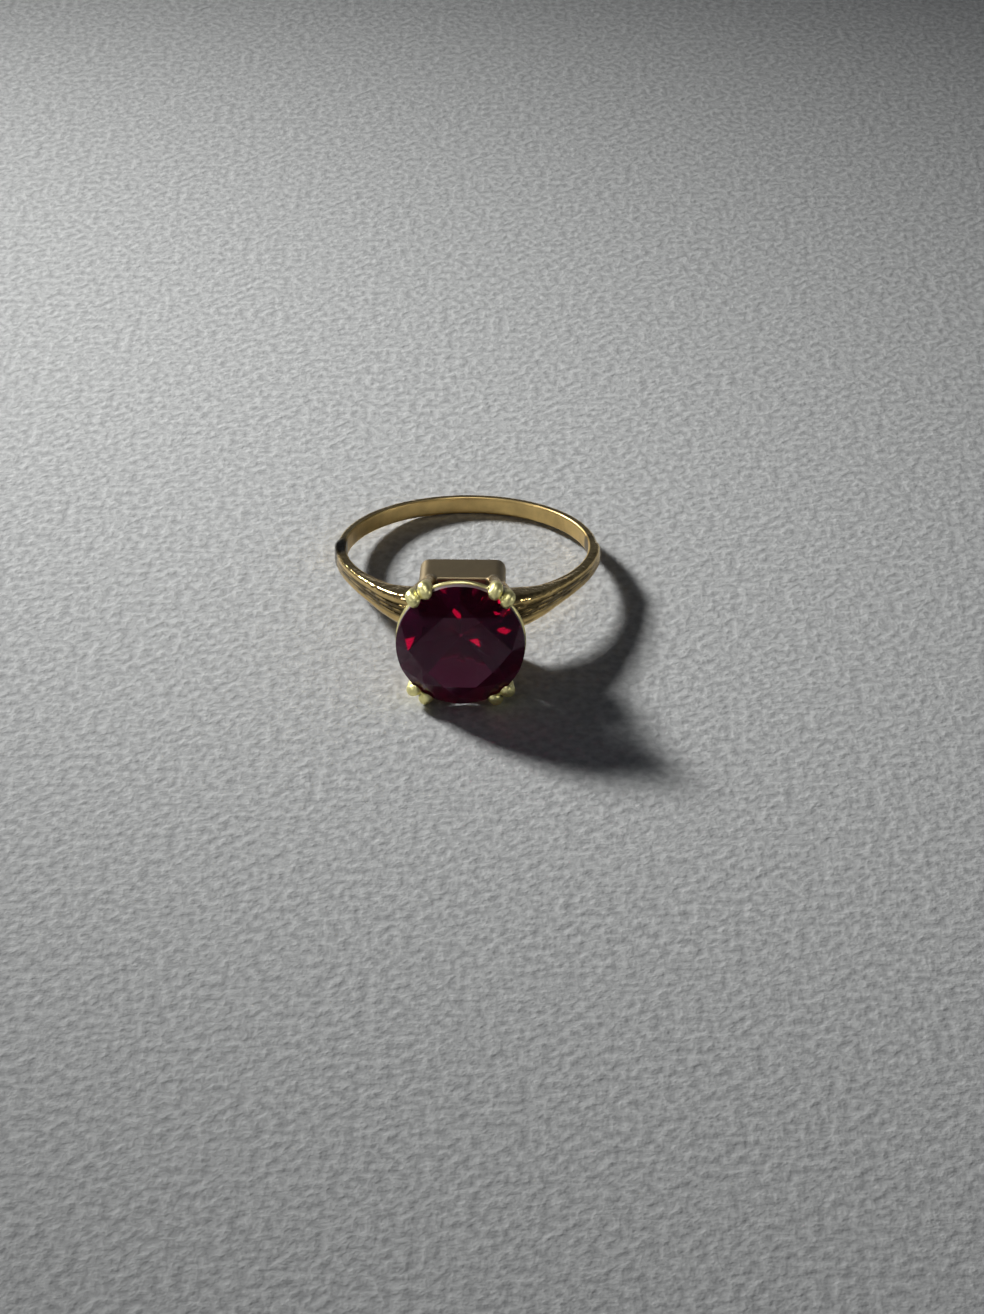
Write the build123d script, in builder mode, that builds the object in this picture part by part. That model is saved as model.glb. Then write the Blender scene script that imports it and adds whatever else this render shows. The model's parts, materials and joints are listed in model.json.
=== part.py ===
"""A gold solitaire ring with a round faceted ruby, lying on its side.

Millimetres. The ring is modelled about its own hoop: the hoop's axis is Z, the
hoop's centre is the origin and the stone looks along -Y. At the end the two
pieces are tilted and set down on the plane z = 0, where the ring rests on the
back of its band and on the two lower claws.
"""
import os
from itertools import product
from math import asin, atan, atan2, cos, degrees, hypot, radians, sin, tan

from build123d import *

# Hoop
FINGER_RADIUS = 8.0
BAND_THICK = 0.62
BAND_WIDTH = 1.2
BAND_ROUND = 0.25
BAND_EASE = 0.1

# Ruby, a round brilliant. Shares are of the stone's radius or facet lengths.
STONE_RADIUS = 4.0
GIRDLE_THICK = 0.45
CROWN_HEIGHT = 1.0
TABLE_SHARE = 0.64
STAR_LENGTH = 0.5
PAVILION_ANGLE = 41.0
LOWER_HALF_LENGTH = 0.77
CULET_RADIUS = 0.1
SEAT_CLEARANCE = 0.05

# Head: a square box on the band, a pair of prongs rising from each corner, and a
# round wire rail that joins the prongs behind the stone's edge
GIRDLE_RISE = 5.62
BOX_WIDTH = 5.4
BOX_TALL = 6.4
BOX_DEPTH = 3.1
BOX_WALL = 0.7
BOX_CORNER = 0.6
BOX_REAR_ROUND = 0.3
BOX_STANDOFF = 0.2
CLAW_ANGLE = 53.0
PRONG_SPREAD = 6.3
PRONG_RADIUS = 0.42
PRONG_STAND = 0.4
PRONG_REACH = 0.2
PRONG_HOOK = 0.3
PRONG_ROOT = 2.3
ROOT_SPREAD = 4.0
RAIL_RADIUS = 0.22
RAIL_INSET = 0.15
RAIL_SETBACK = 0.6

# Shoulders: fluted straps from the hoop's sides to the box
SHOULDER_RISE = 1.8
SHOULDER_TALL = 2.4
SHOULDER_DEPTH = 0.4

# Shares of a strap's half height: how far its two edges and its grooves lie back,
# and, of a strand's width, how far the strand bulges
EDGE_SETBACK = 0.3
GROOVE_SETBACK = 0.06
STRAND_BULGE = 0.22

# Sections of a shoulder from its rounded end to the box. The angle is in degrees
# from the stone's direction, the others are shares of the rise and of the height.
#     angle  rise  tall
SHOULDER_ROWS = (
    (98.0, 0.00, 0.34),
    (94.0, 0.06, 0.46),
    (75.0, 0.04, 0.48),
    (55.0, 0.10, 0.54),
    (42.0, 0.30, 0.64),
    (31.0, 0.64, 0.78),
    (22.0, 0.90, 0.93),
    (14.0, 1.00, 1.00),
)

# Edges of the strands across a shoulder, lowest first, as shares of its half height:
# a wide strand, three thin ribs and a wide strand.
STRAND_EDGES = (-1.0, -0.42, -0.14, 0.14, 0.42, 1.0)

BAND_OUTER = FINGER_RADIUS + BAND_THICK
GIRDLE_OUT = BAND_OUTER + GIRDLE_RISE
BOX_BACK = FINGER_RADIUS + BOX_STANDOFF

# Facets of the stone. The mains meet the table's corners, and the halves and
# stars are cut so that they meet the mains in points.
MAIN_FACETS = 8
HALF_FACETS = 2 * MAIN_FACETS
MAIN_TURN = 360.0 / HALF_FACETS
HALF_TURN = MAIN_TURN / 2
MAIN_COS = cos(radians(MAIN_TURN))
HALF_COS = cos(radians(HALF_TURN))
TABLE_CORNER = TABLE_SHARE * STONE_RADIUS
TABLE_FLAT = TABLE_CORNER * MAIN_COS


def half_slope(main_slope: float, meet: float) -> float:
    """Slope along the line of a half facet that meets its mains at a share of the radius."""
    return main_slope * (1 - meet * MAIN_COS) / (1 - meet)


CROWN_SLOPE = CROWN_HEIGHT / (STONE_RADIUS - TABLE_CORNER)
CROWN_MEET = 1 - STAR_LENGTH * (1 - TABLE_FLAT / STONE_RADIUS)
UPPER_SLOPE = half_slope(CROWN_SLOPE, CROWN_MEET)
MEET_HEIGHT = UPPER_SLOPE * STONE_RADIUS * (1 - CROWN_MEET)
STAR_SLOPE = (CROWN_HEIGHT - MEET_HEIGHT) / (CROWN_MEET * STONE_RADIUS - TABLE_FLAT)
PAVILION_SLOPE = tan(radians(PAVILION_ANGLE))
LOWER_SLOPE = half_slope(PAVILION_SLOPE, 1 - LOWER_HALF_LENGTH)
PAVILION_DEPTH = PAVILION_SLOPE * STONE_RADIUS

# One row of facets round the stone: how many, the first one's turn, its slope, and
# a radius and a height above the girdle's edge through which it passes.
#    count turn slope radius height
CROWN_ROWS = (
    (MAIN_FACETS, MAIN_TURN, CROWN_SLOPE, STONE_RADIUS, 0.0),
    (HALF_FACETS, HALF_TURN, UPPER_SLOPE / HALF_COS, STONE_RADIUS * HALF_COS, 0.0),
    (MAIN_FACETS, 0.0, STAR_SLOPE, TABLE_FLAT, CROWN_HEIGHT),
)
PAVILION_ROWS = (
    (MAIN_FACETS, MAIN_TURN, PAVILION_SLOPE, STONE_RADIUS, 0.0),
    (HALF_FACETS, HALF_TURN, LOWER_SLOPE / HALF_COS, STONE_RADIUS * HALF_COS, 0.0),
)

STONE_PLANE = Plane(origin=(0, -GIRDLE_OUT, 0), x_dir=(1, 0, 0), z_dir=(0, -1, 0))
STONE_SECTION = Plane(origin=STONE_PLANE.origin, x_dir=(1, 0, 0), z_dir=(0, 0, -1))
BOX_PLANE = Plane(origin=(0, -BOX_BACK, 0), x_dir=(1, 0, 0), z_dir=(0, -1, 0))


def facet_plane(side: int, turn: float, slope: float, radius: float, height: float) -> Plane:
    """Plane of one facet, its normal pointing out of the stone."""
    lean = atan(slope)
    around = radians(turn)
    point = (radius * cos(around), radius * sin(around), side * (GIRDLE_THICK / 2 + height))
    normal = (sin(lean) * cos(around), sin(lean) * sin(around), side * cos(lean))
    local = Plane(origin=point, z_dir=normal)
    return Plane(STONE_PLANE.location * local.location)


with BuildPart() as ruby:
    with BuildSketch(STONE_PLANE.offset(-GIRDLE_THICK / 2 - PAVILION_DEPTH)):
        Circle(STONE_RADIUS)
    extrude(amount=PAVILION_DEPTH + GIRDLE_THICK + CROWN_HEIGHT)
    for side, rows in ((1, CROWN_ROWS), (-1, PAVILION_ROWS)):
        for count, first_turn, slope, radius, height in rows:
            for facet in range(count):
                turn = first_turn + facet * 360.0 / count
                split(bisect_by=facet_plane(side, turn, slope, radius, height), keep=Keep.BOTTOM)
    culet_depth = GIRDLE_THICK / 2 + PAVILION_DEPTH - CULET_RADIUS * PAVILION_SLOPE
    split(bisect_by=STONE_PLANE.offset(-culet_depth), keep=Keep.TOP)


def shoulder_section(angle: float, rise: float, tall: float) -> Face:
    """Section of a shoulder across the strap, with its outer edge fluted."""
    around = radians(angle)
    across = (sin(around), -cos(around), 0)
    along = (-cos(around), -sin(around), 0)
    inner = FINGER_RADIUS + SHOULDER_DEPTH
    outer = BAND_OUTER + rise * SHOULDER_RISE
    half = tall * SHOULDER_TALL / 2
    last = len(STRAND_EDGES) - 1
    corners = []
    for place, share in enumerate(STRAND_EDGES):
        setback = EDGE_SETBACK if place in (0, last) else GROOVE_SETBACK
        corners.append((outer - setback * half, share * half))
    with BuildSketch(Plane(origin=(0, 0, 0), x_dir=across, z_dir=along)) as section:
        with BuildLine():
            for low, high in zip(corners, corners[1:]):
                wide, deep = high[1] - low[1], high[0] - low[0]
                middle = ((low[0] + high[0]) / 2, (low[1] + high[1]) / 2)
                crest = (middle[0] + STRAND_BULGE * wide, middle[1] - STRAND_BULGE * deep)
                ThreePointArc(low, crest, high)
            Polyline(corners[-1], (inner, half), (inner, -half), corners[0])
        make_face()
    return section.sketch.face()


with BuildPart() as shoulder:
    loft(sections=[shoulder_section(*row) for row in SHOULDER_ROWS])

with BuildPart() as head_box:
    with BuildSketch(BOX_PLANE):
        RectangleRounded(BOX_WIDTH, BOX_TALL, BOX_CORNER)
    extrude(amount=BOX_DEPTH)
    fillet(head_box.faces().sort_by(Axis.Y)[-1].edges(), BOX_REAR_ROUND)
    with BuildSketch(BOX_PLANE):
        Rectangle(BOX_WIDTH - 2 * BOX_WALL, BOX_TALL - 2 * BOX_WALL)
    extrude(amount=BOX_DEPTH, mode=Mode.SUBTRACT)

# The two prongs of a claw spring from one corner of the box, flush inside its faces
ROOT_WIDE = BOX_WIDTH / 2 - PRONG_RADIUS
ROOT_TALL = BOX_TALL / 2 - PRONG_RADIUS
ROOT_ANGLE = degrees(atan2(ROOT_TALL, ROOT_WIDE))
ROOT_RADIUS = min(
    ROOT_WIDE / cos(radians(ROOT_ANGLE - ROOT_SPREAD)),
    ROOT_TALL / sin(radians(ROOT_ANGLE + ROOT_SPREAD)),
)
KNEE_RADIUS = STONE_RADIUS + PRONG_STAND

# A prong's line: how far out along the stone's axis, how far from that axis, the
# claw's angle round it and how far the prong stands apart from that angle
#    out radius angle spread
PRONG_LINE = (
    (BOX_BACK + PRONG_ROOT, ROOT_RADIUS, ROOT_ANGLE, ROOT_SPREAD),
    (GIRDLE_OUT, KNEE_RADIUS, CLAW_ANGLE, PRONG_SPREAD),
    (GIRDLE_OUT + PRONG_REACH, KNEE_RADIUS - PRONG_HOOK, CLAW_ANGLE, PRONG_SPREAD),
)


def prong_points(wide: int, tall: int, lean: int) -> list[Vector]:
    """Points along the middle of one prong, each argument +1 or -1.

    wide and tall choose the corner of the head, and lean the prong of that corner's pair.
    """
    points = []
    for out, radius, angle, spread in PRONG_LINE:
        around = radians(angle + lean * spread)
        points.append(Vector(wide * radius * cos(around), -out, tall * radius * sin(around)))
    return points

with BuildPart() as gold_mount:
    with BuildSketch(Plane.XZ):
        with Locations((FINGER_RADIUS + BAND_THICK / 2, 0)):
            Rectangle(BAND_THICK, BAND_WIDTH)
        fillet(vertices().group_by(Axis.X)[-1], BAND_ROUND)
        fillet(vertices().group_by(Axis.X)[0], BAND_EASE)
    revolve(axis=Axis.Z)
    add(shoulder.part)
    mirror(shoulder.part, about=Plane.YZ)
    add(head_box.part)
    for signs in product((1, -1), repeat=3):
        line = prong_points(*signs)
        for start, end in zip(line, line[1:]):
            with BuildSketch(Plane(origin=start, z_dir=end - start)):
                Circle(PRONG_RADIUS)
            extrude(amount=(end - start).length)
        with Locations(*line[1:]):
            Sphere(PRONG_RADIUS)
    with Locations(STONE_PLANE.offset(-RAIL_SETBACK)):
        Torus(STONE_RADIUS - RAIL_INSET, RAIL_RADIUS)
    # The seat is the stone's own outline, turned and grown by the clearance
    seat_edge = STONE_RADIUS + SEAT_CLEARANCE
    seat_half = GIRDLE_THICK / 2 + SEAT_CLEARANCE
    with BuildSketch(STONE_SECTION):
        with BuildLine():
            Polyline(
                (0, -seat_half - seat_edge * LOWER_SLOPE),
                (seat_edge, -seat_half),
                (seat_edge, seat_half),
                (0, seat_half + seat_edge * UPPER_SLOPE),
                close=True,
            )
        make_face()
    revolve(axis=Axis(STONE_PLANE.origin, STONE_PLANE.z_dir), mode=Mode.SUBTRACT)

# The tilt at which the band's lower back edge and the outer prongs of the two lower
# claws touch the same plane
knee_drop = KNEE_RADIUS * sin(radians(CLAW_ANGLE + PRONG_SPREAD))
reach = GIRDLE_OUT + BAND_OUTER - BAND_ROUND
drop = knee_drop - (BAND_WIDTH / 2 - BAND_ROUND)
rest_tilt = degrees(asin((PRONG_RADIUS - BAND_ROUND) / hypot(reach, drop)) + atan2(drop, reach))

tilted = Rot(X=-rest_tilt)
spread = Compound(children=[tilted * gold_mount.part, tilted * ruby.part]).bounding_box()
laid_down = Pos(-spread.center().X, -spread.center().Y, -spread.min.Z) * tilted
gold_mount.part.move(laid_down)
ruby.part.move(laid_down)

hoop_centre = [round(length, 4) for length in laid_down.position]
print("rest tilt", round(rest_tilt, 4), "hoop centre", hoop_centre)
os.makedirs("parts", exist_ok=True)
gold_mount.part.label = "gold_mount"
export_step(gold_mount.part, "parts/gold_mount.step")
ruby.part.label = "ruby"
export_step(ruby.part, "parts/ruby.step")
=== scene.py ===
"""Looks of a gold solitaire ring with a round faceted ruby, lying on its side.

Shapes are drawn in millimetres in the ring's own frame: the hoop's axis is Z, the
hoop's centre is the origin and the stone looks along -Y. RingFrame then places them
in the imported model's frame, in metres.
"""
import sys

import json
import logging
from dataclasses import dataclass
from enum import Enum
from itertools import product
from math import asin, atan, atan2, cos, degrees, pi, radians, sin, tan
from typing import NamedTuple

import bmesh
import bpy
import numpy as np
from mathutils import Matrix, Vector


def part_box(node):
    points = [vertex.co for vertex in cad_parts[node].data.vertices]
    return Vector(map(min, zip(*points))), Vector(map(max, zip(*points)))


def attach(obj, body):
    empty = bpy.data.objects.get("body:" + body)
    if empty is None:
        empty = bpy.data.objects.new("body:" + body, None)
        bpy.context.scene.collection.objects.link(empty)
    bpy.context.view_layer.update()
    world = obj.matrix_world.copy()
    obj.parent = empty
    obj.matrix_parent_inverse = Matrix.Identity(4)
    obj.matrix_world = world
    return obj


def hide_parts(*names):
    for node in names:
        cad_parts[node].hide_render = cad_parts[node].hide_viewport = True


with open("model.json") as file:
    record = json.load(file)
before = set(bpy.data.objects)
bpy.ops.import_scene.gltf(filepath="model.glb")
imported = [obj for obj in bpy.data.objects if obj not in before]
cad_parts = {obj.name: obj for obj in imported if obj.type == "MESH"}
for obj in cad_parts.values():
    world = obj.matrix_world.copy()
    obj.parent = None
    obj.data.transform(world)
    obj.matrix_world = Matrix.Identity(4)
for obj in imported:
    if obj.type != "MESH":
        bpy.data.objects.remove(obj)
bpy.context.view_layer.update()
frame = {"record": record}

log = logging.getLogger("ring")

Tree = bpy.types.NodeTree
Socket = bpy.types.NodeSocket
Colour = tuple[float, float, float, float]

MM = 0.001
GOLD_NODE = "gold_mount"
RUBY_NODE = "ruby"
# Points closer than this are one, in millimetres
SAME_POINT = 1e-6
# A length that counts as none
NO_LENGTH = 1e-9


class Join(Enum):
    """How a second shape is combined with a first one."""

    FUSE = "UNION"
    CUT = "DIFFERENCE"


class StoneSide(Enum):
    """The two sides of a cut stone's girdle, as signs along its axis."""

    CROWN = 1
    PAVILION = -1


class StrapRow(NamedTuple):
    """A shoulder's size at an angle in degrees from the stone, as shares of its largest."""

    angle: float
    rise: float
    tall: float


class FacetRow(NamedTuple):
    """Equal facets round the stone: the first one's turn, their slope, and a point on it."""

    side: StoneSide
    count: int
    first: float
    slope: float
    radius: float
    height: float


class DarkPatch(NamedTuple):
    """A dark place in the gold, in millimetres in the ring's frame."""

    place: tuple[float, float, float]
    reach: float
    strength: float


def linear(hex_colour: str) -> Colour:
    """Turn an sRGB hex colour into a linear one.

    Args:
        hex_colour: six hex digits after a hash.

    Returns:
        Linear red, green, blue and an alpha of one.
    """
    parts = [int(hex_colour[place:place + 2], 16) / 255 for place in (1, 3, 5)]
    red, green, blue = [c / 12.92 if c <= 0.04045 else ((c + 0.055) / 1.055) ** 2.4 for c in parts]
    return red, green, blue, 1.0


def add_node(
    tree: Tree, kind: str, inputs: dict | None = None, **settings: object
) -> bpy.types.Node:
    """Add a node, set its properties and feed its inputs.

    Args:
        tree: the node tree that it joins.
        kind: the node's type.
        inputs: input name or number to a value, or to the output that feeds it.
        settings: the node's own properties.

    Returns:
        The new node.
    """
    node = tree.nodes.new(kind)
    for name, value in settings.items():
        setattr(node, name, value)
    for key, value in (inputs or {}).items():
        if isinstance(value, Socket):
            tree.links.new(value, node.inputs[key])
        else:
            node.inputs[key].default_value = value
    return node


def new_material(name: str) -> bpy.types.Material:
    """Make a material with an empty node tree.

    Args:
        name: its name.

    Returns:
        The material.
    """
    material = bpy.data.materials.new(name)
    material.use_nodes = True
    material.node_tree.nodes.clear()
    return material


def maths(tree: Tree, operation: str, *values: float | Socket) -> Socket:
    """Work out one number from others."""
    return add_node(
        tree, "ShaderNodeMath", dict(enumerate(values)), operation=operation
    ).outputs[0]


def remap(
    tree: Tree,
    value: Socket,
    given: tuple[float, float] = (0.0, 1.0),
    wanted: tuple[float | Socket, float | Socket] = (0.0, 1.0),
    curve: str = "LINEAR",
) -> Socket:
    """Turn one range of numbers into another, without going beyond its ends.

    Args:
        tree: the node tree.
        value: the number.
        given: the ends of its range.
        wanted: what those ends become.
        curve: how the values between the ends run.

    Returns:
        The output that holds the result.
    """
    return add_node(tree, "ShaderNodeMapRange", {
        "Value": value,
        "From Min": given[0], "From Max": given[1],
        "To Min": wanted[0], "To Max": wanted[1],
    }, interpolation_type=curve).outputs[0]


def blend(tree: Tree, share: Socket, first: Colour | Socket, second: Colour | Socket) -> Socket:
    """Mix two colours, by the share of the second one."""
    return add_node(
        tree, "ShaderNodeMix", {"Factor": share, "A": first, "B": second}, data_type="RGBA"
    ).outputs["Result"]


def noise(tree: Tree, place: Socket, grain_mm: float, detail: float, roughness: float) -> Socket:
    """Make noise whose grains have a real size.

    Args:
        tree: the node tree.
        place: the point that is looked up, in metres.
        grain_mm: the grains' size.
        detail: how many finer layers are added.
        roughness: how strong the finer layers are.

    Returns:
        The output that holds the noise.
    """
    return add_node(tree, "ShaderNodeTexNoise", {
        "Vector": place, "Scale": 1 / (grain_mm * MM), "Detail": detail, "Roughness": roughness,
    }).outputs[0]


def new_object(name: str, data: bpy.types.ID) -> bpy.types.Object:
    """Put a mesh, a lamp or a camera into the scene.

    Args:
        name: the object's name, which the data gets too.
        data: the mesh, lamp or camera.

    Returns:
        The new object, at the origin.
    """
    data.name = name
    thing = bpy.data.objects.new(name, data)
    bpy.context.scene.collection.objects.link(thing)
    return thing


def object_from(name: str, work: bmesh.types.BMesh) -> bpy.types.Object:
    """Put a finished working mesh into the scene, and free it.

    Args:
        name: the object's and the mesh's name.
        work: the working mesh.

    Returns:
        The new object, at the origin.
    """
    mesh = bpy.data.meshes.new(name)
    work.to_mesh(mesh)
    work.free()
    return new_object(name, mesh)


def mesh_from(
    name: str, points: np.ndarray, faces: list[tuple], edges: list[tuple] | None = None
) -> bpy.types.Mesh:
    """Make a mesh from points and faces.

    Args:
        name: the mesh's name.
        points: one row for each point.
        faces: the points of each face.
        edges: the points of each loose edge.

    Returns:
        The mesh.
    """
    mesh = bpy.data.meshes.new(name)
    mesh.from_pydata([tuple(p) for p in points], edges or [], faces)
    mesh.update()
    return mesh


def applied(thing: bpy.types.Object) -> bpy.types.Object:
    """Bake an object's modifiers into its mesh.

    Args:
        thing: the object.

    Returns:
        The same object, with a plain mesh and no modifiers.
    """
    graph = bpy.context.evaluated_depsgraph_get()
    baked = bpy.data.meshes.new_from_object(thing.evaluated_get(graph))
    thing.modifiers.clear()
    thing.data = baked
    return thing


def combine(first: bpy.types.Object, second: bpy.types.Object, how: Join) -> bpy.types.Object:
    """Fuse a second shape with a first one, or cut it out.

    Args:
        first: the object that stays.
        second: the object that is used up.
        how: fuse or cut.

    Returns:
        The first object with its new mesh.
    """
    before = len(first.data.vertices)
    modifier = first.modifiers.new(how.name, "BOOLEAN")
    modifier.operation = how.value
    modifier.solver = "MANIFOLD"
    modifier.object = second
    applied(first)
    if len(first.data.vertices) == before:
        raise ValueError(f"{how.name} with {second.name} left {first.name} as it was")
    bpy.data.objects.remove(second)
    return first


def loop_faces(loops: int, around: int) -> list[tuple[int, ...]]:
    """Quads between closed loops of points, of which the last meets the first.

    Args:
        loops: how many loops follow each other.
        around: how many points each loop has.

    Returns:
        The faces as point numbers.
    """
    faces = []
    for loop in range(loops):
        here, there = loop * around, (loop + 1) % loops * around
        for point in range(around):
            after = (point + 1) % around
            faces.append((here + point, here + after, there + after, there + point))
    return faces


def swept(name: str, loops: list[np.ndarray]) -> bpy.types.Mesh:
    """Join closed loops of points into a closed shape.

    Args:
        name: the mesh's name.
        loops: the loops, all with as many points.

    Returns:
        The mesh, whose faces look outwards.
    """
    mesh = mesh_from(name, np.concatenate(loops), loop_faces(len(loops), len(loops[0])))
    work = bmesh.new()
    work.from_mesh(mesh)
    bmesh.ops.remove_doubles(work, verts=work.verts, dist=SAME_POINT)
    bmesh.ops.recalc_face_normals(work, faces=work.faces)
    work.to_mesh(mesh)
    work.free()
    return mesh


def clear_slivers(mesh: bpy.types.Mesh, least: float) -> None:
    """Remove the thin flat faces that fusing and cutting leave along the joins.

    Args:
        mesh: the closed mesh.
        least: the shortest edge that is kept.
    """
    work = bmesh.new()
    work.from_mesh(mesh)
    bmesh.ops.triangulate(work, faces=[face for face in work.faces if len(face.verts) > 4])
    bmesh.ops.remove_doubles(work, verts=work.verts, dist=least)
    bmesh.ops.dissolve_degenerate(work, edges=work.edges, dist=least)
    work.to_mesh(mesh)
    work.free()


def point_rows(mesh: bpy.types.Mesh, what: str) -> np.ndarray:
    """Read something that each point of a mesh has three numbers for.

    Args:
        mesh: the mesh.
        what: "co" for the points' places, or "normal".

    Returns:
        A row for each point.
    """
    rows = np.empty(len(mesh.vertices) * 3)
    mesh.vertices.foreach_get(what, rows)
    return rows.reshape(-1, 3)


def write_points(mesh: bpy.types.Mesh, name: str, values: np.ndarray) -> None:
    """Keep a number for each point of a mesh under a name that the finish reads."""
    attribute = mesh.attributes.new(name, "FLOAT", "POINT")
    attribute.data.foreach_set("value", values.astype(np.float32))


def mark_hollows(mesh: bpy.types.Mesh, name: str, softening: int) -> None:
    """Write how hollow the surface is at each point, for the patina and painted shade in hollows.

    Args:
        mesh: the mesh.
        name: the attribute's name.
        softening: how many times the values are evened out between neighbours.
    """
    count = len(mesh.vertices)
    spots, normals = point_rows(mesh, "co"), point_rows(mesh, "normal")
    ends = np.empty(len(mesh.edges) * 2, dtype=np.int64)
    mesh.edges.foreach_get("vertices", ends)
    ends = ends.reshape(-1, 2)
    here, there = np.concatenate([ends, ends[:, ::-1]]).T
    along = spots[there] - spots[here]
    along /= np.maximum(np.linalg.norm(along, axis=1, keepdims=True), NO_LENGTH)
    rise = np.einsum("ij,ij->i", along, normals[here])
    degree = np.maximum(np.bincount(here, minlength=count), 1)
    hollow = np.bincount(here, weights=rise, minlength=count) / degree
    for _ in range(softening):
        around = np.bincount(here, weights=hollow[there], minlength=count) / degree
        hollow = (hollow + around) / 2
    write_points(mesh, name, hollow)


def finger_hole(record: dict) -> dict:
    """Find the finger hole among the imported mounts."""
    return next(mount for mount in record["mounts"] if mount["name"] == "finger_hole")


@dataclass(frozen=True)
class RingFrame:
    """The ring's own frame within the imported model's."""

    centre: Vector
    axis: Vector

    @classmethod
    def from_record(cls, record: dict) -> "RingFrame":
        """Read the hoop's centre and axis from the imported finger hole."""
        hole = finger_hole(record)
        return cls(Vector(hole["pos_m"]), Vector(hole["axis"]).normalized())

    @property
    def turned(self) -> Matrix:
        """Place the ring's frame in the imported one, without change of scale.

        Returns:
            The matrix from the ring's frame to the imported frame.
        """
        across = Vector((1, 0, 0))
        behind = self.axis.cross(across).normalized()
        turn = Matrix((across, behind, self.axis)).transposed().to_4x4()
        return Matrix.Translation(self.centre) @ turn

    @property
    def placed(self) -> Matrix:
        """Matrix from millimetres in the ring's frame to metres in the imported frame."""
        return self.turned @ Matrix.Scale(MM, 4)


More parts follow.
